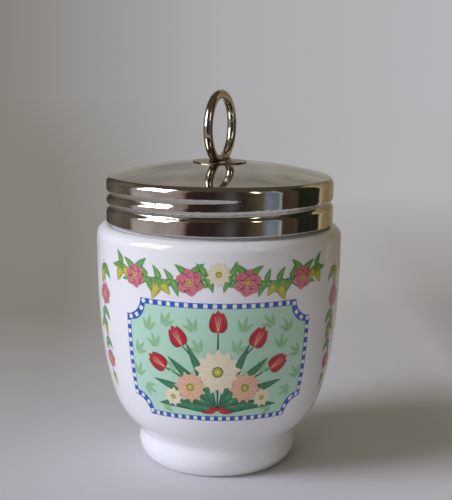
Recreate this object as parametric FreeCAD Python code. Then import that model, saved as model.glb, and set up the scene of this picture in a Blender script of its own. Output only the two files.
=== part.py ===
import FreeCAD, Part
import math
import os

# Egg coddler: a porcelain pot with a moulded screw neck, closed by a lid pressed from thin
# plated sheet. A wire ring is brazed to a low round base on the crown of the lid.
# Millimetres, +Z up. The origin is on the axis, in the plane that the foot stands on.
# Angles are measured about Z from +X, seen from above. The front of the pot looks to -Y.

# Pot, foot
foot_radius = 22.65
foot_bulge_height = 5.6
foot_stand_radius = 19.4
foot_rim_width = 1.9
recess_depth = 6.2
recess_taper = 1.6
recess_round = 2.0
waist_height = 8.4
waist_inset = 0.5

# Pot, bowl
shoulder_height = 68.3
shoulder_drop = 3.1
shoulder_round = 2.9
shoulder_width = 4.4
bowl_wall = 4.2
floor_height = 11.0

# Outline of the bowl from waist to shoulder, as (share of the height, share of the growth)
bowl_shape = ((0.065, 0.225), (0.142, 0.49), (0.274, 0.708), (0.467, 0.88), (0.731, 0.98))
# Outline of the hollow from floor to shoulder, as (share of the height, share of its radius)
hollow_shape = ((0.02, 0.47), (0.09, 0.74), (0.23, 0.88), (0.42, 0.95), (0.68, 0.99), (0.88, 0.975))

# Pot, neck
neck_radius = 30.1
neck_wall = 3.7
neck_height = 12.55
neck_root_round = 0.8
neck_rim_round = 1.5
bore_lip_depth = 1.3

# Screw thread: a ridge on the neck that runs just above a groove pressed into the lid
thread_pitch = 3.4
thread_play = 0.15
ridge_height = 0.9
ridge_half_width = 1.1
ridge_start_angle = 0.0
ridge_end_angle = 470.0
ridge_fade_angle = 40.0
groove_depth = 0.75
groove_half_width = 1.35
groove_level_at_zero = 2.65
groove_start_angle = 60.0
groove_end_angle = 665.0
groove_fade_angle = 105.0

# Lid
sheet_thickness = 0.6
lid_side_play = 0.4
lid_headroom = 0.15
lid_rim_gap = 0.8
lid_shoulder_round = 1.9
crown_rise = 3.9
crown_round = 129.0
crown_seat_margin = 0.5
hem_height = 1.0
hem_extra = 0.25
hem_round = 0.35

# Lifting ring, its base and the braze round its foot
base_radius = 7.55
base_edge_height = 0.3
base_cap_height = 0.45
joint_gap = 0.05
wire_radius = 1.28
ring_mean_radius = 9.1
ring_sink = 1.43
ring_angle = 68.6
braze_height = 0.55
braze_spread = 0.9

# How closely the threaded sides are drawn
skin_step_angle = 5.0
skin_step_height = 0.3
fewest_skin_rows = 8
most_skin_rows = 36
shortest_edge = 0.001

# Levels and radii that follow from the sizes above
foot_top_radius = foot_radius - waist_inset
shoulder_start_height = shoulder_height - shoulder_drop
body_radius = neck_radius + shoulder_width
bore_radius = neck_radius - neck_wall
hollow_radius = body_radius - bowl_wall
neck_top = shoulder_height + neck_height
ridge_tip_radius = neck_radius + ridge_height
lid_inner_radius = ridge_tip_radius + lid_side_play
lid_radius = lid_inner_radius + sheet_thickness
lid_rim_height = shoulder_height + lid_rim_gap
lid_corner_height = neck_top + lid_headroom + sheet_thickness
lid_skin_low = lid_rim_height + hem_height
crown_height = lid_corner_height + crown_rise
seat_radius = base_radius + crown_seat_margin
base_bottom = crown_height + joint_gap
base_edge_top = base_bottom + base_edge_height
base_crest = base_edge_top + base_cap_height
ring_centre_height = base_crest - ring_sink + ring_mean_radius + wire_radius


def at(radius, height):
    """A point of a section drawn in the XZ plane."""
    return FreeCAD.Vector(radius, 0, height)


def line(start, end):
    return Part.makeLine(start, end)


def arc(start, middle, end):
    return Part.Arc(start, middle, end).toShape()


def smooth(points, first_direction, last_direction):
    """A curve through points, paced by their distances, that leaves and arrives as directed."""
    paces = [0.0]
    for here, after in zip(points, points[1:]):
        paces.append(paces[-1] + here.distanceToPoint(after))
    curve = Part.BSplineCurve()
    curve.interpolate(
        Points=points, Parameters=paces, Scale=False,
        InitialTangent=first_direction, FinalTangent=last_direction,
    )
    return curve.toShape()


def rounded_path(corners):
    """Straight edges along (radius, height, rounding) corners, with an arc at each rounded one."""
    edges = []
    start = at(corners[0][0], corners[0][1])

    def run_to(end):
        if start.distanceToPoint(end) > shortest_edge:
            edges.append(line(start, end))

    for before, here, after in zip(corners, corners[1:], corners[2:]):
        corner = at(here[0], here[1])
        back = (at(before[0], before[1]) - corner).normalize()
        ahead = (at(after[0], after[1]) - corner).normalize()
        half_angle = back.getAngle(ahead) / 2
        cut = here[2] / math.tan(half_angle)
        middle_reach = here[2] / math.sin(half_angle) - here[2]
        arc_start = corner + back * cut
        arc_end = corner + ahead * cut
        run_to(arc_start)
        if here[2] > 0:
            inward = (back + ahead).normalize()
            edges.append(arc(arc_start, corner + inward * middle_reach, arc_end))
        start = arc_end
    run_to(at(corners[-1][0], corners[-1][1]))
    return edges


def turned(edges):
    """The solid that a closed section makes when it is turned about Z."""
    section = Part.Face(Part.Wire(Part.__sortEdges__(edges)))
    return section.revolve(FreeCAD.Vector(0, 0, 0), FreeCAD.Vector(0, 0, 1), 360)


def swell(share):
    """A soft bump: 1 at a share of 0, falling to 0 at a share of 1."""
    return (1 + math.cos(math.pi * min(1.0, share))) / 2


def swell_share(height):
    """The share at which the soft bump has a height between 0 and 1."""
    return math.acos(2 * height - 1) / math.pi


def thread_relief(angle, height, level_at, half_width, start_angle, end_angle, fade_angle):
    """How far a right-hand thread stands up at a place on its wall, from 0 to 1."""
    relief = 0.0
    total_angle = angle
    while total_angle <= end_angle:
        if total_angle >= start_angle:
            from_end = min(total_angle - start_angle, end_angle - total_angle)
            fade = swell(1 - min(1.0, from_end / fade_angle))
            relief += fade * swell(abs(height - level_at(total_angle)) / half_width)
        total_angle += 360
    return relief


def rows_along(edges):
    """Points that follow joined edges closely enough to draw a threaded side through."""
    rows = [edges[0].Vertexes[0].Point]
    for edge in edges:
        count = math.ceil(edge.Length / skin_step_height)
        count = min(max(count, fewest_skin_rows), most_skin_rows)
        rows += edge.discretize(count + 1)[1:]
    return rows


def threaded_plug(edges, relief_at):
    """A solid turned from joined edges that run upward, with a relief added to its radius.

    Its ends are flat discs at the heights where the edges start and end.
    """
    rows = rows_along(edges)
    columns = int(round(360 / skin_step_angle))
    # A ring of poles lies this much outside the circle that it makes
    spread = 3 / (2 + math.cos(math.radians(skin_step_angle)))
    poles = []
    for column in range(columns):
        angle = (column - 1) * skin_step_angle % 360
        outward = FreeCAD.Vector(math.cos(math.radians(angle)), math.sin(math.radians(angle)), 0)
        column_poles = []
        for row in rows:
            radius = row.x + relief_at(angle, row.z)
            column_poles.append(outward * (radius * spread) + at(0, row.z))
        poles.append(column_poles)
    last_knot = len(rows) - 3
    surface = Part.BSplineSurface()
    surface.buildFromPolesMultsKnots(
        poles,
        [1] * (columns + 1),
        [4] + [1] * (last_knot - 1) + [4],
        [float(knot) for knot in range(columns + 1)],
        [float(knot) for knot in range(last_knot + 1)],
        True, False, 3, 3,
    )
    side = surface.toShape()
    ends = [Part.Face(Part.Wire(edge)) for edge in side.Edges if len(edge.Vertexes) == 1]
    plug = Part.Solid(Part.Shell([side] + ends))
    plug.fix(0, 0, 0)
    return plug


def groove_level(angle):
    """Height of the lid's groove at an angle: one pitch for each turn."""
    return lid_rim_height + groove_level_at_zero + thread_pitch * angle / 360


def ridge_above_groove():
    """How far the neck's ridge lies above the groove, so that their sides pass with a little play."""
    meeting_radius = (lid_inner_radius - groove_depth + ridge_tip_radius) / 2
    groove_share = swell_share((lid_inner_radius - meeting_radius) / groove_depth)
    ridge_share = swell_share((meeting_radius - neck_radius) / ridge_height)
    groove_reach = (groove_half_width + sheet_thickness / 2) * groove_share
    return groove_reach + ridge_half_width * ridge_share + thread_play


def ridge_level(angle):
    """Height of the neck's ridge when the lid is down."""
    return groove_level(angle) + ridge_above_groove()


def ridge_relief(angle, height):
    """How far the moulded ridge stands out from the neck at a place."""
    return ridge_height * thread_relief(
        angle, height, ridge_level, ridge_half_width,
        ridge_start_angle, ridge_end_angle, ridge_fade_angle,
    )


def groove_relief(inset, angle, height):
    """How far the groove sets back the lid's outer side, or with the sheet as inset its inner one."""
    return -groove_depth * thread_relief(
        angle, height, groove_level, groove_half_width + inset / 2,
        groove_start_angle, groove_end_angle, groove_fade_angle,
    )


def bowl_edge():
    """Outer line from the foot's bulge through the waist to the shoulder."""
    up = FreeCAD.Vector(0, 0, 1)
    rise = shoulder_start_height - waist_height
    growth = body_radius - foot_top_radius
    points = [at(foot_radius, foot_bulge_height), at(foot_top_radius, waist_height)]
    for height_share, growth_share in bowl_shape:
        points.append(at(foot_top_radius + growth * growth_share, waist_height + rise * height_share))
    points.append(at(body_radius, shoulder_start_height))
    return smooth(points, up, up)


def foot_edge():
    """The foot's rounded side, an arc that stands upright at the bulge."""
    step = foot_radius - foot_stand_radius
    radius = (step ** 2 + foot_bulge_height ** 2) / (2 * step)
    centre = foot_radius - radius
    half_turn = math.asin(foot_bulge_height / radius) / 2
    middle = at(centre + radius * math.cos(half_turn), foot_bulge_height - radius * math.sin(half_turn))
    return arc(at(foot_stand_radius, 0), middle, at(foot_radius, foot_bulge_height))


def pot_body():
    """The solid pot up to the ledge, without its neck and its hollow."""
    recess_radius = foot_stand_radius - foot_rim_width
    edges = rounded_path([
        (0, recess_depth, 0),
        (recess_radius - recess_taper, recess_depth, recess_round),
        (recess_radius, 0, 0),
        (foot_stand_radius, 0, 0),
    ])
    edges.append(foot_edge())
    edges.append(bowl_edge())
    edges += rounded_path([
        (body_radius, shoulder_start_height, 0),
        (body_radius, shoulder_height, shoulder_round),
        (0, shoulder_height, 0),
        (0, recess_depth, 0),
    ])
    return turned(edges)


def pot_neck():
    """The solid neck with the moulded ridge, rooted inside the body."""
    foot = at(neck_radius + neck_root_round, shoulder_start_height)
    ledge_edge = at(neck_radius + neck_root_round, shoulder_height)
    wall_foot = at(neck_radius, shoulder_height + neck_root_round)
    edges = [line(foot, ledge_edge), line(ledge_edge, wall_foot)]
    edges += rounded_path([
        (neck_radius, wall_foot.z, 0),
        (neck_radius, neck_top, neck_rim_round),
        (neck_radius - neck_wall / 2, neck_top, 0),
    ])
    return threaded_plug(edges, ridge_relief)


def pot_hollow():
    """The space inside: a straight bore, widening below the neck into a belly with a round floor."""
    bore_foot = shoulder_height + neck_root_round
    lip_foot = neck_top - bore_lip_depth
    lip_centre = at(bore_radius + neck_rim_round, lip_foot)
    lip_middle = lip_centre + at(-1, 1).normalize() * neck_rim_round
    above_rim = lip_foot + neck_rim_round
    rise = shoulder_height - floor_height
    points = [at(0, floor_height)]
    for height_share, radius_share in hollow_shape:
        points.append(at(hollow_radius * radius_share, floor_height + rise * height_share))
    points.append(at(bore_radius, bore_foot))
    return turned([
        smooth(points, FreeCAD.Vector(1, 0, 0), FreeCAD.Vector(0, 0, 1)),
        line(at(bore_radius, bore_foot), at(bore_radius, lip_foot)),
        arc(at(bore_radius, lip_foot), lip_middle, at(lip_centre.x, above_rim)),
        line(at(lip_centre.x, above_rim), at(0, above_rim)),
        line(at(0, above_rim), at(0, floor_height)),
    ])


def make_pot():
    return pot_body().fuse(pot_neck()).cut(pot_hollow())


def crown_centre():
    """Centre of the crown's arc, which runs from the edge of the flat seat to the shoulder corner."""
    seat = at(seat_radius, crown_height)
    corner = at(lid_radius, lid_corner_height)
    chord = corner - seat
    middle = (seat + corner) * 0.5
    downward = FreeCAD.Vector(chord.z, 0, -chord.x).normalize()
    return middle + downward * math.sqrt(crown_round ** 2 - (chord.Length / 2) ** 2)


def shoulder_centre():
    """Centre of the small arc that joins the crown to the upright skirt."""
    crown = crown_centre()
    across = lid_radius - lid_shoulder_round - crown.x
    reach = crown_round - lid_shoulder_round
    return at(lid_radius - lid_shoulder_round, crown.z + math.sqrt(reach ** 2 - across ** 2))


def top_edges(inset):
    """Edges from the top of the skirt over shoulder and crown to the seat, inset into the sheet."""
    crown = crown_centre()
    shoulder = shoulder_centre()
    radius = crown_round - inset
    shoulder_radius = lid_shoulder_round - inset
    seat_height = crown_height - inset
    seat = at(crown.x + math.sqrt(radius ** 2 - (seat_height - crown.z) ** 2), seat_height)
    joint = crown + (shoulder - crown).normalize() * radius
    crown_middle = crown + ((seat + joint) * 0.5 - crown).normalize() * radius
    skirt_top = shoulder + at(shoulder_radius, 0)
    shoulder_middle = shoulder + ((joint + skirt_top) * 0.5 - shoulder).normalize() * shoulder_radius
    return [arc(skirt_top, shoulder_middle, joint), arc(joint, crown_middle, seat)]


def lid_outside():
    """The whole room that the lid takes up, with the groove in its side."""
    edges = rounded_path([
        (lid_radius - 2 * hem_round, lid_rim_height, 0),
        (lid_radius, lid_rim_height, hem_round),
        (lid_radius, shoulder_centre().z, 0),
    ])

    def relief_at(angle, height):
        return groove_relief(0, angle, height)

    return threaded_plug(edges + top_edges(0), relief_at)


def lid_inside():
    """The room under the lid's sheet, narrower at the thickened hem and open below the rim."""
    hem_radius = lid_inner_radius - hem_extra
    edges = [
        line(at(hem_radius, shoulder_height), at(hem_radius, lid_skin_low - hem_extra)),
        line(at(hem_radius, lid_skin_low - hem_extra), at(lid_inner_radius, lid_skin_low)),
        line(at(lid_inner_radius, lid_skin_low), at(lid_inner_radius, shoulder_centre().z)),
    ]

    def relief_at(angle, height):
        return groove_relief(sheet_thickness, angle, height)

    return threaded_plug(edges + top_edges(sheet_thickness), relief_at)


def make_lid_shell():
    """The pressed lid: crown, shoulder, grooved skirt and hem, all of one sheet."""
    return lid_outside().cut(lid_inside())


def base_form(lift, bottom):
    """The low round cap under the ring, raised by lift and reaching down to bottom."""
    edge_top = at(base_radius, base_edge_top + lift)
    crest = at(0, base_crest + lift)
    cap_round = (base_radius ** 2 + base_cap_height ** 2) / (2 * base_cap_height)
    half_turn = math.asin(base_radius / cap_round) / 2
    middle = at(
        cap_round * math.sin(half_turn),
        crest.z - cap_round * (1 - math.cos(half_turn)),
    )
    return turned([
        arc(crest, middle, edge_top),
        line(edge_top, at(base_radius, bottom)),
        line(at(base_radius, bottom), at(0, bottom)),
        line(at(0, bottom), crest),
    ])


def make_ring_base():
    return base_form(0, base_bottom)


def space_below_ring():
    """The base with a hair of air over it, and all that is below: the ring's foot ends there."""
    return base_form(joint_gap, base_crest - ring_mean_radius)


def turned_to_ring(shape):
    shape.rotate(FreeCAD.Vector(0, 0, 0), FreeCAD.Vector(0, 0, 1), ring_angle)
    return shape


def full_ring(skin):
    """The ring before its foot is flattened, its wire thickened by skin on all sides.

    Its plane holds Z and the ring angle.
    """
    centre = FreeCAD.Vector(0, 0, ring_centre_height)
    across = FreeCAD.Vector(0, 1, 0)
    return turned_to_ring(Part.makeTorus(ring_mean_radius, wire_radius + skin, centre, across))


def make_lift_ring():
    return full_ring(0).cut(space_below_ring())


def make_ring_braze():
    """The low mound of braze that runs up round the ring's foot."""
    drop = ring_centre_height - base_crest
    foot_half_length = math.sqrt((ring_mean_radius + wire_radius) ** 2 - drop ** 2)
    stretch = FreeCAD.Matrix()
    stretch.scale(foot_half_length + braze_spread, wire_radius + braze_spread, braze_height + joint_gap)
    mound = Part.makeSphere(1).transformGeometry(stretch)
    mound.translate(FreeCAD.Vector(0, 0, base_crest))
    mound = turned_to_ring(mound)
    return mound.cut(space_below_ring()).cut(full_ring(joint_gap))


def main():
    nodes = {
        "pot": make_pot(),
        "lid_shell": make_lid_shell(),
        "ring_base": make_ring_base(),
        "lift_ring": make_lift_ring(),
        "ring_braze": make_ring_braze(),
    }
    os.makedirs("parts", exist_ok=True)
    for name, shape in nodes.items():
        shape.exportStep("parts/" + name + ".step")
        box = shape.BoundBox
        print(name, len(shape.Solids), shape.isValid(), round(shape.Volume, 1),
              "z", round(box.ZMin, 2), round(box.ZMax, 2), "x", round(box.XMin, 2), round(box.XMax, 2))


main()
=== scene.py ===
import math

import bpy
from mathutils import Matrix, Vector
from mathutils.bvhtree import BVHTree


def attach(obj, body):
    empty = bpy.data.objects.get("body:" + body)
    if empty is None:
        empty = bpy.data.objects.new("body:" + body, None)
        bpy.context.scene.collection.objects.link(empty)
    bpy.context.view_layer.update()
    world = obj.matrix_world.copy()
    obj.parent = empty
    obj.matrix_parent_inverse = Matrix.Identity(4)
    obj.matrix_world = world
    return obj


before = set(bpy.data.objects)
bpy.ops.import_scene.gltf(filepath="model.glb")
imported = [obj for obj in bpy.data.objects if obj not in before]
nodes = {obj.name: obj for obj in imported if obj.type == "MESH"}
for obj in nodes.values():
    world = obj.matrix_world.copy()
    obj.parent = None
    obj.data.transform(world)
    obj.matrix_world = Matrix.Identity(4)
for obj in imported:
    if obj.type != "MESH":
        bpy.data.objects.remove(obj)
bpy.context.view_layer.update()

# Metres, the part's own frame: +Z up, the printed front looks to -Y.
# Angles round the pot are degrees from the front, counted towards +X.
MM = 0.001

# Camera, fitted to the outline of the object in the 452 by 500 frame
FRAME_WIDTH = 452
FRAME_HEIGHT = 500
SENSOR_WIDTH = 36.0
FOCAL_PIXELS = 1070.4
CENTRE_PIXEL_X = 218.97
CAMERA_DISTANCE = 0.300
CAMERA_HEIGHT = 0.11527
CAMERA_PITCH = 10.375
CAMERA_ROLL = 0.637

# Print on the bowl
PANEL_MIDDLE = 36.25 * MM
PANEL_HALF_WIDTH = 26.6 * MM
PANEL_HALF_HEIGHT = 16.45 * MM
PANEL_CORNER = 5.0 * MM
BORDER_WIDTH = 1.45 * MM
CHECK_SIZE = 0.55 * MM
CHECK_PITCH = 2.45 * MM
PRINT_RADIUS = 34.0 * MM
OUTSIDE = 60.0 * MM
PRINT_LIFT = 0.018 * MM
LAYER_LIFT = 0.009 * MM
SHAPE_LIFT = 0.0006 * MM
SHAPES_IN_LAYER = 14
BOUQUET_FOOT = 22.8 * MM
FESTOON_HEIGHT = 61.2 * MM
FESTOON_SAG = 3.0 * MM
FESTOON_HALF_SPAN = 29.5 * MM
DROP_ANGLE = 65.0
DROP_TOP = 60.6 * MM
DROP_LENGTH = 33.0 * MM
FRONT_AND_BACK = (0.0, 180.0)


def link(obj):
    bpy.context.scene.collection.objects.link(obj)
    return obj


def mesh_object(name, points, faces, material=None, smooth=True):
    mesh = bpy.data.meshes.new(name)
    mesh.from_pydata([tuple(p) for p in points], [], faces)
    mesh.update()
    mesh.polygons.foreach_set("use_smooth", [smooth] * len(mesh.polygons))
    if material:
        mesh.materials.append(material)
    return link(bpy.data.objects.new(name, mesh))


# Materials

def new_material(name):
    material = bpy.data.materials.new(name)
    material.use_nodes = True
    tree = material.node_tree
    return material, tree, tree.nodes["Principled BSDF"]


def add_node(tree, kind, **settings):
    node = tree.nodes.new(kind)
    for key, value in settings.items():
        setattr(node, key, value)
    return node


def object_coordinates(tree):
    return add_node(tree, "ShaderNodeTexCoord").outputs["Object"]


def noise(tree, scale, detail=4.0, roughness=0.55, stretch=None):
    """Noise in the object's own coordinates, from 0 to 1, stretched along its axes if asked."""
    texture = add_node(tree, "ShaderNodeTexNoise")
    texture.inputs["Scale"].default_value = scale
    texture.inputs["Detail"].default_value = detail
    texture.inputs["Roughness"].default_value = roughness
    place = object_coordinates(tree)
    if stretch:
        mapping = add_node(tree, "ShaderNodeMapping")
        mapping.inputs["Scale"].default_value = stretch
        tree.links.new(place, mapping.inputs["Vector"])
        place = mapping.outputs["Vector"]
    tree.links.new(place, texture.inputs["Vector"])
    return texture.outputs["Fac"]


def ramp(tree, value, stops):
    """Colours against a value: stops are (place, (r, g, b)) in rising order."""
    node = add_node(tree, "ShaderNodeValToRGB")
    elements = node.color_ramp.elements
    while len(elements) < len(stops):
        elements.new(1.0)
    for element, (place, colour) in zip(elements, stops):
        element.position = place
        element.color = (*colour, 1.0)
    tree.links.new(value, node.inputs["Fac"])
    return node.outputs["Color"]


def span(tree, value, low, high, to_low, to_high):
    """A value carried from one span of numbers to another, and held inside it."""
    node = add_node(tree, "ShaderNodeMapRange")
    for name, number in (("From Min", low), ("From Max", high), ("To Min", to_low), ("To Max", to_high)):
        node.inputs[name].default_value = number
    tree.links.new(value, node.inputs["Value"])
    return node.outputs["Result"]


def mix(tree, share, first, second, blend="MIX"):
    node = add_node(tree, "ShaderNodeMix", data_type="RGBA", blend_type=blend)
    if isinstance(share, float):
        node.inputs["Factor"].default_value = share
    else:
        tree.links.new(share, node.inputs["Factor"])
    for name, colour in (("A", first), ("B", second)):
        socket = [s for s in node.inputs if s.name == name and s.type == "RGBA"][0]
        if isinstance(colour, tuple):
            socket.default_value = (*colour, 1.0)
        else:
            tree.links.new(colour, socket)
    return [s for s in node.outputs if s.type == "RGBA"][0]


def grey(tree, value):
    node = add_node(tree, "ShaderNodeCombineColor")
    for name in ("Red", "Green", "Blue"):
        tree.links.new(value, node.inputs[name])
    return node.outputs["Color"]


def maths(tree, operation, first, second=None):
    node = add_node(tree, "ShaderNodeMath", operation=operation)
    for socket, value in zip(node.inputs, (first, second)):
        if value is None:
            continue
        if isinstance(value, (int, float)):
            socket.default_value = value
        else:
            tree.links.new(value, socket)
    return node.outputs["Value"]


def bump(tree, shader, height, strength, distance):
    node = add_node(tree, "ShaderNodeBump")
    node.inputs["Strength"].default_value = strength
    node.inputs["Distance"].default_value = distance
    tree.links.new(height, node.inputs["Height"])
    tree.links.new(node.outputs["Normal"], shader.inputs["Normal"])


def place_parts(tree):
    """The x, y and z of a place on the object, in metres, as outputs named X, Y and Z."""
    parts = add_node(tree, "ShaderNodeSeparateXYZ")
    tree.links.new(object_coordinates(tree), parts.inputs["Vector"])
    return parts.outputs


def radius_and_height(tree):
    """Distance from the axis and height of a place on the object, in metres."""
    place = place_parts(tree)
    squares = [maths(tree, "MULTIPLY", place[axis], place[axis]) for axis in ("X", "Y")]
    total = maths(tree, "ADD", squares[0], squares[1])
    return maths(tree, "SQRT", total), place["Z"]


def porcelain_material():
    """White hard porcelain under a clear glaze, bare and matt where the foot stands."""
    material, tree, shader = new_material("porcelain")
    tint = ramp(tree, noise(tree, 55.0), [(0.3, (0.86, 0.86, 0.855)), (0.7, (0.885, 0.885, 0.885))])
    _, height = radius_and_height(tree)
    bare = span(tree, height, 0.0, 0.5 * MM, 1.0, 0.0)
    grain = ramp(tree, noise(tree, 900.0), [(0.3, (0.68, 0.64, 0.58)), (0.7, (0.80, 0.77, 0.72))])
    tree.links.new(mix(tree, bare, tint, grain), shader.inputs["Base Color"])
    gloss = span(tree, noise(tree, 120.0), 0.3, 0.7, 0.03, 0.055)
    matt = maths(tree, "MULTIPLY", bare, 0.5)
    tree.links.new(maths(tree, "ADD", gloss, matt), shader.inputs["Roughness"])
    shader.inputs["IOR"].default_value = 1.52
    bump(tree, shader, noise(tree, 260.0, 2.0), 0.07, 0.02 * MM)
    return material


def print_material(name, low, high, vein=None, rim=None):
    """Ceramic colour fired into the glaze: tones that run from the middle of a motif to its edge."""
    material, tree, shader = new_material(name)
    tone = add_node(tree, "ShaderNodeAttribute", attribute_name="tone").outputs["Fac"]
    speckle = maths(tree, "MULTIPLY", maths(tree, "SUBTRACT", noise(tree, 1100.0, 3.0), 0.5), 0.5)
    stops = [(0.12, low), (0.80, high)]
    if vein:
        stops = [(0.04, vein), (0.22, low), (0.80, high)]
    if rim:
        stops.append((0.98, rim))
    tree.links.new(ramp(tree, maths(tree, "ADD", tone, speckle), stops), shader.inputs["Base Color"])
    shader.inputs["Roughness"].default_value = 0.07
    shader.inputs["IOR"].default_value = 1.52
    return material


def plated_material(name, pale, dark, roughness, tarnish_radius=None):
    """Polished plating with smudges, fine wipe marks and a little tarnish where cloths don't reach."""
    material, tree, shader = new_material(name)
    smudge = noise(tree, 90.0, 6.0, 0.6)
    colour = ramp(tree, smudge, [(0.32, dark), (0.62, pale)])
    if tarnish_radius:
        radius, height = radius_and_height(tree)
        inward = span(tree, radius, tarnish_radius - 0.7 * MM, tarnish_radius, 1.0, 0.0)
        on_skirt = span(tree, height, 80.0 * MM, 81.0 * MM, 1.0, 0.0)
        share = maths(tree, "MULTIPLY", maths(tree, "MULTIPLY", inward, on_skirt), 0.45)
        colour = mix(tree, share, colour, (0.30, 0.25, 0.18))
    tree.links.new(colour, shader.inputs["Base Color"])
    shader.inputs["Metallic"].default_value = 1.0
    fine = span(tree, noise(tree, 420.0, 5.0, 0.6), 0.3, 0.75, roughness, roughness * 2.0)
    tree.links.new(fine, shader.inputs["Roughness"])
    bump(tree, shader, noise(tree, 160.0, 3.0), 0.06, 0.02 * MM)
    return material


porcelain = porcelain_material()
lid_plating = plated_material("plated_sheet", (0.65, 0.635, 0.58), (0.56, 0.54, 0.475), 0.045, 32.0 * MM)
wire_plating = plated_material("plated_wire", (0.64, 0.60, 0.53), (0.44, 0.38, 0.29), 0.06)
cap_plating = plated_material("base_metal", (0.50, 0.42, 0.32), (0.32, 0.24, 0.16), 0.16)
braze_metal = plated_material("braze", (0.20, 0.155, 0.105), (0.06, 0.045, 0.03), 0.25)

for node_name, material in (
    ("pot", porcelain),
    ("lid_shell", lid_plating),
    ("lift_ring", wire_plating),
    ("ring_base", cap_plating),
    ("ring_braze", braze_metal),
):
    slots = nodes[node_name].data.materials
    if len(slots) == 0:
        slots.append(material)
    for index in range(len(slots)):
        slots[index] = material


# Print on the bowl. A motif is drawn flat, as (along, height), and then wrapped round the pot.

pot_mesh = nodes["pot"].data
pot_surface = BVHTree.FromPolygons(
    [v.co.copy() for v in pot_mesh.vertices], [tuple(p.vertices) for p in pot_mesh.polygons]
)


def on_pot(along, height, lift, turn=0.0):
    """The place on the bowl that a flat (along, height) wraps to, raised by lift."""
    angle = along / PRINT_RADIUS + math.radians(turn)
    outward = Vector((math.sin(angle), -math.cos(angle), 0.0))
    start = outward * OUTSIDE + Vector((0.0, 0.0, height))
    hit, normal, _, _ = pot_surface.ray_cast(start, -outward)
    if normal.dot(outward) < 0:
        normal = -normal
    return hit + normal * lift


class Print:
    """The flat motifs of one colour, gathered into one mesh. Each lies a hair above the last."""

    shapes = 0

    def __init__(self, name, material):
        self.name = name
        self.material = material
        self.points = []
        self.tones = []
        self.faces = []

    def add(self, places, tones, faces, layer):
        first = len(self.points)
        Print.shapes += 1
        lift = PRINT_LIFT + LAYER_LIFT * layer + SHAPE_LIFT * (Print.shapes % SHAPES_IN_LAYER)
        self.points += [(along, height, lift) for along, height in places]
        self.tones += tones
        self.faces += [tuple(first + index for index in face) for face in faces]

    def build(self, turns):
        points = []
        faces = []
        for turn in turns:
            first = len(points)
            points += [on_pot(along, height, lift, turn) for along, height, lift in self.points]
            faces += [tuple(first + index for index in face) for face in self.faces]
        piece = mesh_object(self.name, points, faces, self.material)
        attribute = piece.data.attributes.new("tone", "FLOAT", "POINT")
        attribute.data.foreach_set("value", self.tones * len(turns))
        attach(piece, "pot")


def away(place, distance, heading):
    """The flat point at a distance from a place, in a heading in degrees."""
    turn = math.radians(heading)
    return (place[0] + distance * math.cos(turn), place[1] + distance * math.sin(turn))


def between(first, last, share):
    return (first[0] + (last[0] - first[0]) * share, first[1] + (last[1] - first[1]) * share)


def fill(target, outline, layer, rings=4, middle=None, tone=(0.0, 1.0)):
    """Fills an outline with rings that shrink towards its middle, toned from middle to edge."""
    count = len(outline)
    if middle is None:
        middle = (sum(p[0] for p in outline) / count, sum(p[1] for p in outline) / count)
    places = [middle]
    tones = [tone[0]]
    for ring in range(1, rings + 1):
        share = ring / rings
        places += [between(middle, p, share) for p in outline]
        tones += [tone[0] + (tone[1] - tone[0]) * share] * count
    faces = []
    for k in range(count):
        faces.append((0, 1 + k, 1 + (k + 1) % count))
    for ring in range(rings - 1):
        inner = 1 + ring * count
        outer = inner + count
        for k in range(count):
            after = (k + 1) % count
            faces.append((inner + k, outer + k, outer + after, inner + after))
    target.add(places, tones, faces, layer)


def blade(target, base, direction, length, width, layer, bend=0.0, blunt=0.5, tone=(0.0, 1.0)):
    """A leaf or petal from its base: width swells to its middle, and bend curls the tip sideways.

    Tone runs from the midrib to the edge, or from the base to the tip where tone says so.
    """
    steps = max(12, int(length / (0.9 * MM)))
    turn = math.radians(direction)
    spine = []
    for k in range(steps + 1):
        share = k / steps
        heading = turn + math.radians(bend) * share
        if k == 0:
            spine.append((base[0], base[1], heading))
        else:
            x, y, _ = spine[-1]
            step = length / steps
            spine.append((x + math.cos(heading) * step, y + math.sin(heading) * step, heading))
    places = []
    tones = []
    for k, (x, y, heading) in enumerate(spine):
        share = k / steps
        swell = math.sin(math.pi * share ** blunt) ** 0.8 if 0 < k < steps else 0.02
        half = width / 2 * swell
        side = (-math.sin(heading), math.cos(heading))
        for across in (-1.0, -0.5, 0.0, 0.5, 1.0):
            places.append((x + side[0] * half * across, y + side[1] * half * across))
            tones.append(tone[0] + (tone[1] - tone[0]) * max(abs(across), share * 0.6, 1 - share * 6))
    faces = []
    for k in range(steps):
        for j in range(4):
            a = k * 5 + j
            faces.append((a, a + 5, a + 6, a + 1))
    target.add(places, tones, faces, layer)


def stroke(target, path, width, layer, tone=0.5):
    """A thin line along flat points, tapered at both ends."""
    places = []
    tones = []
    last = len(path) - 1
    for k, (x, y) in enumerate(path):
        before = path[max(k - 1, 0)]
        after = path[min(k + 1, last)]
        run = math.hypot(after[0] - before[0], after[1] - before[1]) or 1.0
        side = (-(after[1] - before[1]) / run, (after[0] - before[0]) / run)
        half = width / 2 * (0.45 + 0.55 * math.sin(math.pi * k / last) ** 0.5)
        places += [(x - side[0] * half, y - side[1] * half), (x + side[0] * half, y + side[1] * half)]
        tones += [tone, tone]
    faces = [(2 * k, 2 * k + 2, 2 * k + 3, 2 * k + 1) for k in range(last)]
    target.add(places, tones, faces, layer)


def curve(start, control, end, count=18):
    """Points of a simple curve that leaves start towards control and ends at end."""
    points = []
    for k in range(count + 1):
        share = k / count
        points.append(between(between(start, control, share), between(control, end, share), share))
    return points


def disc_outline(middle, radius, count=20):
    return [away(middle, radius, 360.0 * k / count) for k in range(count)]


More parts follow.
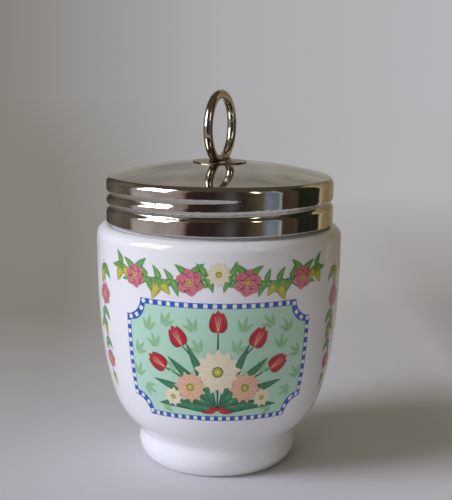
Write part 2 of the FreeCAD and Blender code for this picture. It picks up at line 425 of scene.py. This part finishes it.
def panel_outline(half_width, half_height, corner):
    """A rectangle round the panel's middle whose corners are scooped in by quarter circles."""
    points = []
    steps = 10
    for quarter in range(4):
        sx = (1, -1, -1, 1)[quarter]
        sy = (1, 1, -1, -1)[quarter]
        middle = (sx * half_width, sy * half_height)
        arc = []
        for k in range(steps + 1):
            angle = math.pi / 2 * k / steps
            across, down = corner * math.cos(angle), corner * math.sin(angle)
            arc.append((middle[0] - sx * across, middle[1] - sy * down))
        # the first quarter runs from the right side to the top
        if quarter in (0, 2):
            arc.reverse()
        points += arc
    dense = []
    for here, after in zip(points, points[1:] + points[:1]):
        run = math.hypot(after[0] - here[0], after[1] - here[1])
        parts = max(1, int(run / (1.0 * MM)))
        dense += [between(here, after, k / parts) for k in range(parts)]
    return [(x, y + PANEL_MIDDLE) for x, y in dense]


prints = []


def colour_print(name, *colours):
    """A print in one colour: low and high tone, and with some the vein's and the rim's."""
    one_print = Print("print_" + name, print_material("print_" + name, *colours))
    prints.append(one_print)
    return one_print


ground = colour_print("ground", (0.42, 0.69, 0.50), (0.50, 0.75, 0.58))
border = colour_print("border", (0.030, 0.085, 0.40), (0.045, 0.13, 0.50))
checks = colour_print("checks", (0.78, 0.82, 0.78), (0.86, 0.88, 0.86))
shade_leaf = colour_print("shade_leaf", (0.25, 0.50, 0.25), (0.34, 0.60, 0.35))
dark_leaf = colour_print(
    "dark_leaf", (0.07, 0.27, 0.13), (0.035, 0.17, 0.08), (0.24, 0.48, 0.26), (0.015, 0.075, 0.04)
)
fresh_leaf = colour_print(
    "fresh_leaf", (0.22, 0.46, 0.13), (0.11, 0.32, 0.08), (0.50, 0.66, 0.32), (0.035, 0.13, 0.035)
)
red = colour_print(
    "red", (0.58, 0.045, 0.06), (0.46, 0.02, 0.035), (0.74, 0.20, 0.16), (0.22, 0.01, 0.02)
)
rose = colour_print(
    "rose", (0.46, 0.05, 0.10), (0.74, 0.27, 0.30), (0.36, 0.025, 0.06), (0.30, 0.02, 0.06)
)
peach = colour_print(
    "peach", (0.72, 0.36, 0.21), (0.86, 0.58, 0.40), (0.62, 0.22, 0.12), (0.48, 0.20, 0.11)
)
cream = colour_print(
    "cream", (0.78, 0.66, 0.40), (0.90, 0.83, 0.64), (0.60, 0.36, 0.16), (0.55, 0.42, 0.22)
)
yellow = colour_print(
    "yellow", (0.66, 0.60, 0.10), (0.42, 0.42, 0.05), (0.78, 0.72, 0.24), (0.22, 0.24, 0.03)
)
vine = colour_print("vine", (0.36, 0.13, 0.10), (0.48, 0.20, 0.14))
outline_ink = colour_print("ink", (0.05, 0.07, 0.04), (0.12, 0.10, 0.06))

LAYER_GROUND, LAYER_BORDER, LAYER_CHECK, LAYER_SHADE, LAYER_STEM, LAYER_LEAF = 0, 1, 2, 3, 4, 5
LAYER_BACK, LAYER_FRONT, LAYER_LINE = 7, 9, 12


def resample(outline, count):
    """The closed outline with count points at even distances, starting at its first point."""
    closed = outline + outline[:1]
    runs = [math.dist(a, b) for a, b in zip(closed, closed[1:])]
    total = sum(runs)
    points = []
    edge = 0
    passed = 0.0
    for k in range(count):
        want = total * k / count
        while passed + runs[edge] < want:
            passed += runs[edge]
            edge += 1
        share = (want - passed) / runs[edge] if runs[edge] else 0.0
        points.append(between(closed[edge], closed[edge + 1], share))
    return points


def panel():
    """The green panel with its blue border of small white checks."""
    outer, centre, inner = [
        panel_outline(PANEL_HALF_WIDTH - inset, PANEL_HALF_HEIGHT - inset, PANEL_CORNER)
        for inset in (0.0, BORDER_WIDTH / 2, BORDER_WIDTH)
    ]
    fill(ground, inner, LAYER_GROUND, rings=26, middle=(0.0, PANEL_MIDDLE), tone=(0.2, 0.8))
    count = min(len(outer), len(inner))
    outer_run = resample(outer, 4 * count)
    inner_run = resample(inner, 4 * count)
    total = len(outer_run)
    faces = [(k, (k + 1) % total, total + (k + 1) % total, total + k) for k in range(total)]
    border.add(outer_run + inner_run, [0.5] * (2 * total), faces, LAYER_BORDER)
    middle_run = resample(centre, 720)
    length = sum(math.dist(a, b) for a, b in zip(middle_run, middle_run[1:] + middle_run[:1]))
    squares = int(round(length / CHECK_PITCH))
    for k in range(squares):
        place = int(round(k * len(middle_run) / squares)) % len(middle_run)
        here = middle_run[place]
        after = middle_run[(place + 2) % len(middle_run)]
        angle = math.atan2(after[1] - here[1], after[0] - here[0])
        corners = []
        for cx, cy in ((-1, -1), (1, -1), (1, 1), (-1, 1)):
            x, y = cx * CHECK_SIZE, cy * CHECK_SIZE
            corners.append((here[0] + x * math.cos(angle) - y * math.sin(angle),
                            here[1] + x * math.sin(angle) + y * math.cos(angle)))
        fill(checks, corners, LAYER_CHECK, rings=1, tone=(0.5, 0.5))


def mm(x, y):
    return (x * MM, y * MM)


def shade_sprays():
    """Pale sprigs of three leaves scattered over the green ground, the same on both halves."""
    places = [
        (-19.5, 44.4, 72), (-14.6, 46.2, 56), (-6.3, 45.2, 112), (-23.4, 37.6, 44), (-24.0, 31.0, 62),
        (-21.6, 28.4, -32), (-16.2, 23.0, 10), (-4.7, 39.6, 118), (-17.2, 40.0, 100), (-11.4, 33.8, 128),
    ]
    for x, y, heading in places:
        for foot, middle_heading in ((mm(x, y), heading), (mm(-x, y), 180 - heading)):
            for turn, size in ((-38, 3.5), (0, 4.2), (38, 3.5)):
                blade(shade_leaf, foot, middle_heading + turn, size * MM, 1.45 * MM, LAYER_SHADE, bend=12)


def daisy(middle, radius, petals, petal_print, heart_print, layer, turn=0.0):
    """An open flower: two rings of petals round a domed heart."""
    for ring, (share, offset) in enumerate(((1.0, 0.0), (0.78, 180.0 / petals))):
        for k in range(petals):
            heading = turn + offset + 360.0 * k / petals
            base = away(middle, 0.12 * radius, heading)
            blade(petal_print, base, heading, radius * share * 0.88, radius * 0.42, layer + ring,
                  blunt=0.8, tone=(0.05 + 0.2 * ring, 1.0 - 0.25 * ring))
    fill(heart_print, disc_outline(middle, radius * 0.24), layer + 3, rings=3)
    for k in range(9):
        speck = away(middle, radius * 0.20, 40 * k + turn)
        fill(outline_ink, disc_outline(speck, radius * 0.035, count=8), layer + 4, rings=1)


def tulip(foot, heading, size, layer):
    """A closed cup of three petals on the end of a stem."""
    for turn, share, rise in ((24, 0.92, 0), (-24, 0.92, 0), (0, 1.0, 1)):
        blade(red, foot, heading + turn, size * share, size * 0.56, layer + rise,
              bend=-turn * 0.9, blunt=0.62, tone=(0.25 - 0.25 * rise, 1.0))
    for turn in (-10, 0, 10):
        tip = away(foot, size * 0.72, heading + turn)
        stroke(peach, curve(foot, foot, tip, 8), 0.18 * MM, layer + 2, tone=0.4)


def bouquet():
    """The bunch in the panel: red tulips, peach and cream daisies and long dark leaves."""
    root = (0.0, BOUQUET_FOOT)
    heads = [(-9.5, 41.0, 118), (9.5, 41.0, 62), (-14.5, 34.5, 148), (14.5, 34.5, 32), (0.0, 45.0, 90)]
    for x, y, heading in heads:
        head = mm(x, y)
        control = (0.25 * head[0], between(root, head, 0.62)[1])
        stroke(dark_leaf, curve(root, control, head), 0.55 * MM, LAYER_STEM, tone=0.9)
    for side in (-1, 1):
        for heading, length, width, bend, lift in (
            (12, 17.0, 3.0, 58, 1.0), (30, 19.0, 3.2, 46, 1.5), (50, 18.5, 3.0, 24, 2.0),
            (4, 13.0, 2.6, -18, 0.8), (68, 19.0, 2.7, 10, 2.0),
        ):
            angle = heading if side > 0 else 180 - heading
            blade(dark_leaf, mm(side * 0.8, 22.6 + lift), angle, length * MM, width * MM,
                  LAYER_LEAF, bend=bend * side * -0.35, blunt=0.7)
    for x, y, heading in heads:
        tulip(mm(x, y), heading, 6.0 * MM, LAYER_BACK)
    daisy(mm(0, 34.2), 6.4 * MM, 13, cream, yellow, LAYER_FRONT, 5.0)
    daisy(mm(-7.6, 29.6), 4.6 * MM, 11, peach, yellow, LAYER_FRONT, 12.0)
    daisy(mm(7.6, 29.6), 4.6 * MM, 11, peach, yellow, LAYER_FRONT, 22.0)
    daisy(mm(-12.8, 26.4), 2.9 * MM, 9, cream, yellow, LAYER_FRONT, 0.0)
    daisy(mm(12.8, 26.4), 2.9 * MM, 9, cream, yellow, LAYER_FRONT, 20.0)
    stroke(red, curve(mm(-2.4, 24.0), mm(0, 22.6), mm(2.4, 24.0)), 0.9 * MM, LAYER_LINE, tone=0.4)
    for side in (-1, 1):
        blade(red, mm(side * 0.5, 23.3), 90 - side * 118, 4.4 * MM, 1.5 * MM, LAYER_LINE, bend=side * 30)


def blossom(middle, radius, layer, turn=0.0):
    """A round blossom of three rings of overlapping petals, with a yellow heart and a ring of stamens."""
    for ring, (count, reach, width) in enumerate(((6, 1.0, 0.95), (5, 0.72, 0.72), (4, 0.46, 0.5))):
        for k in range(count):
            heading = turn + ring * 31 + 360.0 * k / count
            blade(rose, middle, heading, radius * reach, radius * width, layer + ring,
                  blunt=0.95, tone=(0.16 + 0.10 * ring, 1.04))
    fill(yellow, disc_outline(middle, radius * 0.17, count=12), layer + 3, rings=3)
    # the stamens start at an angle of their own, which differs from blossom to blossom
    first_stamen = math.degrees(turn)
    for k in range(7):
        speck = away(middle, radius * 0.25, 360.0 * k / 7 + first_stamen)
        fill(yellow, disc_outline(speck, radius * 0.045, count=8), layer + 3, rings=1, tone=(0.1, 0.3))


def bud(foot, heading, size, layer):
    """A yellow-green bud in a small green cup."""
    blade(yellow, foot, heading, size, size * 0.52, layer, blunt=0.62)
    blade(fresh_leaf, foot, heading + 24, size * 0.42, size * 0.2, layer + 1, bend=-20)
    blade(fresh_leaf, foot, heading - 24, size * 0.42, size * 0.2, layer + 1, bend=20)


def pair_of_leaves(place, heading, size):
    for turn in (-48, 46):
        blade(fresh_leaf, place, heading + turn, size, size * 0.42, LAYER_LEAF, bend=-turn * 0.5)


def festoon_height(share):
    return FESTOON_HEIGHT - FESTOON_SAG * math.sin(math.pi * share) ** 0.9


def festoon():
    """Two swags of blossoms, buds and leaves above the panel, which meet at its middle."""
    for side in (-1, 1):
        path = [(side * FESTOON_HALF_SPAN * k / 48, festoon_height(k / 48)) for k in range(49)]
        stroke(vine, path, 0.36 * MM, LAYER_STEM)
        for share, what, size in (
            (0.11, "leaves", 5.0), (0.25, "blossom", 3.7), (0.41, "leaves", 4.6), (0.53, "bud", 5.8),
            (0.66, "leaves", 4.8), (0.79, "blossom", 3.3), (0.96, "bud", 5.2),
        ):
            place = (side * FESTOON_HALF_SPAN * share, festoon_height(share))
            if what == "blossom":
                pair_of_leaves(place, 90 + side * 76, 5.6 * MM)
                pair_of_leaves(place, 90 - side * 84, 5.4 * MM)
                blossom((place[0], place[1] - 1.0 * MM), size * MM, LAYER_BACK, 20.0 * side)
            elif what == "bud":
                pair_of_leaves(place, 90 - side * 64, 4.2 * MM)
                bud(place, -90 + side * 22, size * MM, LAYER_BACK)
                bud(place, -90 - side * 38, size * 0.84 * MM, LAYER_BACK)
            else:
                pair_of_leaves(place, -90 + side * 12, size * MM)
                length, width = 0.8 * size * MM, 0.34 * size * MM
                blade(fresh_leaf, place, 90 - side * 30, length, width, LAYER_LEAF, bend=18)
    daisy((0.0, FESTOON_HEIGHT - 0.9 * MM), 3.3 * MM, 11, cream, yellow, LAYER_FRONT)


def drop(side):
    """A hanging sprig beside the panel."""
    along = side * math.radians(DROP_ANGLE) * PRINT_RADIUS

    def place_at(share):
        return (along + 0.8 * MM * math.sin(share * 9.0), DROP_TOP - DROP_LENGTH * share)

    stroke(vine, [place_at(k / 36) for k in range(37)], 0.32 * MM, LAYER_STEM)
    sprig = (
        ("bud", 0.05), ("blossom", 0.24), ("leaves", 0.42),
        ("bud", 0.52), ("leaves", 0.68), ("blossom", 0.80),
    )
    for k, (what, share) in enumerate(sprig):
        place = place_at(share)
        lean = side * (14 if k % 2 else -14)
        pair_of_leaves(place, -90 + lean, (5.3 - 0.3 * k) * MM)
        if what == "blossom":
            blossom((place[0], place[1] - 1.9 * MM), (3.3 - 0.12 * k) * MM, LAYER_BACK, 15.0 * k)
        elif what == "bud":
            bud(place, -90 - lean, (5.8 - 0.3 * k) * MM, LAYER_BACK)
    bud(place_at(0.97), -90 - side * 12, 4.2 * MM, LAYER_BACK)


panel()
shade_sprays()
bouquet()
festoon()
drop(-1)
drop(1)
for one_print in prints:
    one_print.build(FRONT_AND_BACK)


# Stage: a pale floor with painted light and shade, soft light, and a room that only polished surfaces see

# Painted shade of the backdrop, darker at the far left and lighter at the right, as (share from left to
# right, colour)
BACKDROP_PAINTED_SHADE = [(0.0, (0.24, 0.225, 0.205)), (0.5, (0.405, 0.405, 0.415)), (1.0, (0.455, 0.46, 0.475))]
FLOOR_LIGHT = (0.60, 0.59, 0.63)
FLOOR_RADIUS = 3.0
FLOOR_SIDES = 96


def sideways_share(tree, x, y, reach):
    """0 at the far left and 1 at the far right of the front view; reach softens it near the middle."""
    total = maths(tree, "ADD", maths(tree, "MULTIPLY", x, x), maths(tree, "MULTIPLY", y, y))
    run = maths(tree, "SQRT", maths(tree, "ADD", total, reach * reach))
    return span(tree, maths(tree, "DIVIDE", x, run), -0.20, 0.20, 0.0, 1.0)


def floor_material():
    """A pale cloth that fades into the backdrop far out, with painted light and shade: palest at the near
    right, darker towards the far left, and a painted shadow to the right behind the pot.
    """
    material, tree, shader = new_material("floor")
    place = place_parts(tree)
    x, y = place["X"], place["Y"]
    # painted shade: far out the floor takes the backdrop's tones, darker towards the left
    far_stops = [
        (stop, tuple(c / light for c, light in zip(colour, FLOOR_LIGHT))) for stop, colour in BACKDROP_PAINTED_SHADE
    ]
    far = ramp(tree, sideways_share(tree, x, y, 0.30), far_stops)
    # painted light: the near floor is paler towards the right, to lighten the shadow there
    near = mix(tree, span(tree, x, 0.0, 0.08, 0.0, 1.0), (0.72, 0.72, 0.765), (0.86, 0.86, 0.90))
    cloth = mix(tree, span(tree, y, -0.09, 0.16, 0.0, 1.0), near, far)
    # painted shadow: a darker, warmer patch to the right behind the pot, fading out further back
    right = span(tree, x, 0.02, 0.11, 0.0, 1.0)
    starts = span(tree, y, -0.06, 0.02, 0.0, 1.0)
    ends = span(tree, y, 0.20, 0.60, 1.0, 0.0)
    painted_shadow_share = maths(tree, "MULTIPLY", right, maths(tree, "MULTIPLY", starts, ends))
    shaded = mix(tree, painted_shadow_share, cloth, (0.55, 0.52, 0.48))
    tree.links.new(shaded, shader.inputs["Base Color"])
    shader.inputs["Roughness"].default_value = 0.9
    shader.inputs["Specular IOR Level"].default_value = 0.0
    radius, _ = radius_and_height(tree)
    tree.links.new(span(tree, radius, 0.7, 2.6, 1.0, 0.0), shader.inputs["Alpha"])
    return material


def make_floor():
    rim = []
    for k in range(FLOOR_SIDES):
        angle = 2 * math.pi * k / FLOOR_SIDES
        rim.append((FLOOR_RADIUS * math.cos(angle), FLOOR_RADIUS * math.sin(angle), 0.0))
    floor = mesh_object("floor", rim, [tuple(range(FLOOR_SIDES))], floor_material(), smooth=False)


make_floor()

# What polished metal sees of the room, as (degrees round from the front, colour)
ROOM_RADIUS = 0.28
ROOM_BOTTOM = 0.001
ROOM_TOP = 0.60
PANE_INSET = 0.01
ROOM_STRIPES = (
    (-180, (0.315, 0.30, 0.275)),
    (-156, (0.29, 0.275, 0.25)),
    (-150, (0.05, 0.045, 0.04)),
    (-138, (0.10, 0.085, 0.07)),
    (-120, (0.17, 0.145, 0.12)),
    (-94, (0.12, 0.095, 0.08)),
    (-88, (0.50, 0.46, 0.47)),
    (-46, (0.40, 0.34, 0.345)),
    (-33, (0.24, 0.18, 0.18)),
    (-30, (0.050, 0.025, 0.025)),
    (-5, (0.034, 0.022, 0.022)),
    (12, (0.080, 0.080, 0.090)),
    (20, (0.030, 0.022, 0.020)),
    (40, (0.11, 0.09, 0.06)),
    (45, (0.20, 0.24, 0.31)),
    (57, (0.19, 0.23, 0.30)),
    (58.5, (0.60, 0.60, 0.60)),
    (60.5, (0.055, 0.035, 0.028)),
    (78, (0.075, 0.055, 0.035)),
    (80, (0.018, 0.020, 0.013)),
    (110, (0.022, 0.024, 0.015)),
    (113, (0.60, 0.50, 0.33)),
    (118, (0.30, 0.22, 0.12)),
    (150, (0.24, 0.19, 0.12)),
    (162, (0.33, 0.315, 0.28)),
    (180, (0.315, 0.30, 0.275)),
)


def glowing_material(name, strength):
    """A material that only gives light; its colour is the last thing returned, to be set or linked."""
    material = bpy.data.materials.new(name)
    material.use_nodes = True
    tree = material.node_tree
    tree.nodes.clear()
    emission = add_node(tree, "ShaderNodeEmission")
    emission.inputs["Strength"].default_value = strength
    output = add_node(tree, "ShaderNodeOutputMaterial")
    tree.links.new(emission.outputs["Emission"], output.inputs["Surface"])
    return material, tree, emission.inputs["Color"]


def room_material():
    """Bright and dark stripes as a room has them, painted by direction and height."""
    material, tree, light_colour = glowing_material("room", 1.0)
    place = place_parts(tree)
    towards_front = maths(tree, "MULTIPLY", place["Y"], -1.0)
    turn = maths(tree, "ARCTAN2", place["X"], towards_front)
    share = maths(tree, "ADD", maths(tree, "DIVIDE", turn, 2 * math.pi), 0.5)
    stripes = ramp(tree, share, [((angle + 180) / 360, colour) for angle, colour in ROOM_STRIPES])
    mottle = span(tree, noise(tree, 14.0, 5.0), 0.3, 0.7, 0.72, 1.3)
    stripes = mix(tree, 1.0, stripes, grey(tree, mottle), "MULTIPLY")
    above = span(tree, place["Z"], 0.30, 0.345, 0.0, 1.0)
    tree.links.new(mix(tree, above, stripes, (0.085, 0.065, 0.045)), light_colour)
    return material


def seen_by_gloss_only(obj):
    """Puts an object on the stage that only reflections show."""
    obj.visible_camera = False
    obj.visible_diffuse = False
    obj.visible_shadow = False
    obj.visible_transmission = False
    obj.visible_volume_scatter = False


def upright_sheet(name, radius, from_angle, to_angle, low, high, count, material):
    """A curved upright sheet round the axis, between two directions and two heights."""
    points = []
    for k in range(count + 1):
        angle = math.radians(from_angle + (to_angle - from_angle) * k / count)
        points += [(radius * math.sin(angle), -radius * math.cos(angle), height) for height in (low, high)]
    faces = [(2 * k, 2 * k + 2, 2 * k + 3, 2 * k + 1) for k in range(count)]
    seen_by_gloss_only(mesh_object(name, points, faces, material))


def pane(name, from_angle, to_angle, low, high, material):
    upright_sheet(name, ROOM_RADIUS - PANE_INSET, from_angle, to_angle, low, high, 8, material)


def pane_light(name, colour, strength):
    material, _, light_colour = glowing_material(name, strength)
    light_colour.default_value = (*colour, 1.0)
    return material


upright_sheet("room", ROOM_RADIUS, 0.0, 360.0, ROOM_BOTTOM, ROOM_TOP, 180, room_material())
day = pane_light("daylight", (0.97, 0.98, 1.0), 7.0)
lamp = pane_light("lamplight", (1.0, 0.90, 0.66), 4.5)
pane("window_left", -84, -69, 0.115, 0.36, day)
pane("window_right", -65, -50, 0.115, 0.36, day)
pane("lamp_pane", 33, 40, 0.17, 0.30, lamp)


def daylight(name, azimuth, elevation, softness, strength, colour):
    """Soft light from far away, from degrees round from the front and degrees above the floor."""
    data = bpy.data.lights.new(name, "SUN")
    data.angle = math.radians(softness)
    data.energy = strength
    data.color = colour
    turn = math.radians(azimuth)
    rise = math.radians(elevation)
    towards = Vector((math.sin(turn) * math.cos(rise), -math.cos(turn) * math.cos(rise), math.sin(rise)))
    source = link(bpy.data.objects.new(name, data))
    source.rotation_euler = towards.to_track_quat("Z", "Y").to_euler()
    source.visible_glossy = False


daylight("key", -70.0, 26.0, 27.0, 2.48, (0.80, 0.82, 1.0))


def soft_beam(name, place, target, width, power, colour):
    """A soft spot of light, as wide as its angle in degrees, that points at a target."""
    data = bpy.data.lights.new(name, "SPOT")
    data.energy = power
    data.color = colour
    data.spot_size = math.radians(width)
    data.spot_blend = 1.0
    data.shadow_soft_size = 0.12
    source = link(bpy.data.objects.new(name, data))
    source.location = place
    source.rotation_euler = (Vector(place) - Vector(target)).to_track_quat("Z", "Y").to_euler()
    source.visible_glossy = False


# From low at the front left, to lift the foot and the underside of the bowl
soft_beam("low_fill", (-0.26, -0.48, 0.07), (0.0, -0.02, 0.016), 15.0, 9.0, (0.86, 0.88, 1.0))


def warm_card():
    """A brown card out of sight on the right: it keeps the light of the floor off that side."""
    material, _, shader = new_material("card")
    shader.inputs["Base Color"].default_value = (0.16, 0.12, 0.06, 1.0)
    shader.inputs["Roughness"].default_value = 1.0
    shader.inputs["Specular IOR Level"].default_value = 0.0
    x, reach, low, high = 0.085, 0.20, 0.022, 0.26
    corners = [(x, -reach, low), (x, reach, low), (x, reach, high), (x, -reach, high)]
    card = mesh_object("card", corners, [(0, 1, 2, 3)], material)
    card.visible_camera = False
    card.visible_glossy = False
    card.visible_shadow = False


warm_card()


def make_world():
    """Light from above for the object, a dim room for its gloss, and for the camera a backdrop with painted
    shade, darker at the left.
    """
    world = bpy.data.worlds.new("world")
    bpy.context.scene.world = world
    world.use_nodes = True
    tree = world.node_tree
    background = tree.nodes["Background"]
    ray = add_node(tree, "ShaderNodeLightPath")
    parts = add_node(tree, "ShaderNodeSeparateXYZ")
    tree.links.new(add_node(tree, "ShaderNodeTexCoord").outputs["Generated"], parts.inputs["Vector"])
    direction = parts.outputs
    # painted shade: the backdrop the camera sees is darker at the left and lighter at the right
    backdrop = ramp(tree, sideways_share(tree, direction["X"], direction["Y"], 0.001), BACKDROP_PAINTED_SHADE)
    from_above = ramp(tree, direction["Z"], [(0.0, (0.065, 0.055, 0.040)), (1.0, (0.43, 0.41, 0.36))])
    room_light = mix(tree, ray.outputs["Is Glossy Ray"], from_above, (0.085, 0.070, 0.055))
    seen = mix(tree, ray.outputs["Is Camera Ray"], room_light, backdrop)
    tree.links.new(seen, background.inputs["Color"])
    background.inputs["Strength"].default_value = 1.0


make_world()


def make_camera():
    """The camera at the photograph's viewing angle."""
    data = bpy.data.cameras.new("camera")
    data.sensor_width = SENSOR_WIDTH
    data.lens = FOCAL_PIXELS * SENSOR_WIDTH / FRAME_HEIGHT
    data.shift_x = (FRAME_WIDTH / 2 - CENTRE_PIXEL_X) / FRAME_HEIGHT
    data.clip_start = 0.01
    data.clip_end = 50.0
    camera = link(bpy.data.objects.new("camera", data))
    camera.location = (0.0, -CAMERA_DISTANCE, CAMERA_HEIGHT)
    pitch = Matrix.Rotation(math.radians(90 - CAMERA_PITCH), 3, "X")
    roll = Matrix.Rotation(math.radians(CAMERA_ROLL), 3, "Z")
    camera.rotation_euler = (pitch @ roll).to_euler()
    return camera


bpy.context.scene.camera = make_camera()
bpy.context.scene.view_settings.view_transform = "Standard"
